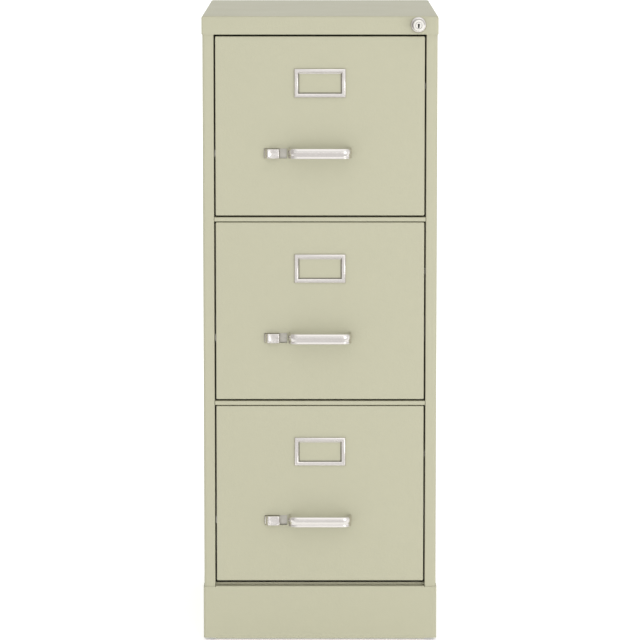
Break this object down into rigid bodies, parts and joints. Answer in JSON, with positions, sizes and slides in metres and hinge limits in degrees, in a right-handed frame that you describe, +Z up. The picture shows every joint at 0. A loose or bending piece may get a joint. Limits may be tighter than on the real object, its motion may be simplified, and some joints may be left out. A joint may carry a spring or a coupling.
{
  "type": "filing cabinet",
  "caption": "Vertical metal filing cabinet in putty paint, with letter-size drawers on telescopic slides, bail handles, thumb latches, label holders and a push-in lock.",
  "frame": {"origin": "on the floor, at the middle of the footprint of the whole object, handles included", "axes": "+Z up, -Y out of the drawer fronts, +X to the right seen from the front"},
  "size_m": [0.381, 0.5908, 1.0208],
  "materials": {
    "putty_paint": "semi-matte powder coat with a fine texture",
    "bright_plate": "satin nickel-chrome plate",
    "zinc_steel": "bright zinc plate",
    "glide_nylon": "matte"
  },
  "bodies": {
    "cabinet": {"left_side_panel": "putty_paint", "right_side_panel": "putty_paint", "top_cap": "putty_paint", "back_panel": "putty_paint", "kick_plate": "putty_paint", "base_pan": "putty_paint", "cross_rail_1": "putty_paint", "cross_rail_2": "putty_paint", "upright_front_left": "putty_paint", "upright_front_right": "putty_paint", "upright_rear_left": "putty_paint", "upright_rear_right": "putty_paint", "lock_housing": "bright_plate", "glide_front_left": "glide_nylon", "glide_front_right": "glide_nylon", "glide_rear_left": "glide_nylon", "glide_rear_right": "glide_nylon", "case_slide_left_1": "zinc_steel", "case_slide_right_1": "zinc_steel", "case_slide_left_2": "zinc_steel", "case_slide_right_2": "zinc_steel", "case_slide_left_3": "zinc_steel", "case_slide_right_3": "zinc_steel"},
    "drawer_1": {"drawer_front_1": "putty_paint", "drawer_liner_1": "putty_paint", "drawer_tray_1": "putty_paint", "label_holder_1": "bright_plate", "handle_1": "bright_plate", "drawer_slide_left_1": "zinc_steel", "drawer_slide_right_1": "zinc_steel"},
    "mid_slides_1": {"mid_slide_left_1": "zinc_steel", "mid_slide_right_1": "zinc_steel"},
    "latch_1": {"latch_button_1": "bright_plate", "latch_bar_1": "zinc_steel"},
    "drawer_2": {"drawer_front_2": "putty_paint", "drawer_liner_2": "putty_paint", "drawer_tray_2": "putty_paint", "label_holder_2": "bright_plate", "handle_2": "bright_plate", "drawer_slide_left_2": "zinc_steel", "drawer_slide_right_2": "zinc_steel"},
    "mid_slides_2": {"mid_slide_left_2": "zinc_steel", "mid_slide_right_2": "zinc_steel"},
    "latch_2": {"latch_button_2": "bright_plate", "latch_bar_2": "zinc_steel"},
    "drawer_3": {"drawer_front_3": "putty_paint", "drawer_liner_3": "putty_paint", "drawer_tray_3": "putty_paint", "label_holder_3": "bright_plate", "handle_3": "bright_plate", "drawer_slide_left_3": "zinc_steel", "drawer_slide_right_3": "zinc_steel"},
    "mid_slides_3": {"mid_slide_left_3": "zinc_steel", "mid_slide_right_3": "zinc_steel"},
    "latch_3": {"latch_button_3": "bright_plate", "latch_bar_3": "zinc_steel"},
    "lock_plunger": {"lock_plunger": "bright_plate"},
    "lock_key_plug": {"lock_key_plug": "bright_plate"},
    "lock_bar": {"lock_bar": "zinc_steel"}
  },
  "joints": [
    {"name": "drawer_1_slide", "type": "slide", "parent": "cabinet", "child": "drawer_1", "axis": [0, -1, 0], "range_m": [0, 0.47]},
    {"name": "mid_slides_1_slide", "type": "slide", "parent": "cabinet", "child": "mid_slides_1", "axis": [0, -1, 0], "range_m": [0, 0.235]},
    {"name": "latch_1_slide", "type": "slide", "parent": "drawer_1", "child": "latch_1", "axis": [1, 0, 0], "range_m": [0, 0.008], "stiffness_N_per_m": 300, "springref_m": -0.006},
    {"name": "drawer_2_slide", "type": "slide", "parent": "cabinet", "child": "drawer_2", "axis": [0, -1, 0], "range_m": [0, 0.47]},
    {"name": "mid_slides_2_slide", "type": "slide", "parent": "cabinet", "child": "mid_slides_2", "axis": [0, -1, 0], "range_m": [0, 0.235]},
    {"name": "latch_2_slide", "type": "slide", "parent": "drawer_2", "child": "latch_2", "axis": [1, 0, 0], "range_m": [0, 0.008], "stiffness_N_per_m": 300, "springref_m": -0.006},
    {"name": "drawer_3_slide", "type": "slide", "parent": "cabinet", "child": "drawer_3", "axis": [0, -1, 0], "range_m": [0, 0.47]},
    {"name": "mid_slides_3_slide", "type": "slide", "parent": "cabinet", "child": "mid_slides_3", "axis": [0, -1, 0], "range_m": [0, 0.235]},
    {"name": "latch_3_slide", "type": "slide", "parent": "drawer_3", "child": "latch_3", "axis": [1, 0, 0], "range_m": [0, 0.008], "stiffness_N_per_m": 300, "springref_m": -0.006},
    {"name": "lock_push", "type": "slide", "parent": "cabinet", "child": "lock_plunger", "axis": [0, 1, 0], "range_m": [0, 0.01], "stiffness_N_per_m": 400, "springref_m": -0.015},
    {"name": "lock_bar_slide", "type": "slide", "parent": "cabinet", "child": "lock_bar", "axis": [0, 0, -1], "range_m": [0, 0.01]},
    {"name": "lock_key_turn", "type": "hinge", "parent": "lock_plunger", "child": "lock_key_plug", "pos_m": [0.158, -0.2837, 1.0065], "axis": [0, 1, 0], "range_deg": [0, 90]}
  ],
  "couplings": [
    {"joint": "mid_slides_1_slide", "follows": "drawer_1_slide", "ratio": 0.5},
    {"joint": "mid_slides_2_slide", "follows": "drawer_2_slide", "ratio": 0.5},
    {"joint": "mid_slides_3_slide", "follows": "drawer_3_slide", "ratio": 0.5},
    {"joint": "lock_bar_slide", "follows": "lock_push", "ratio": 1}
  ]
}
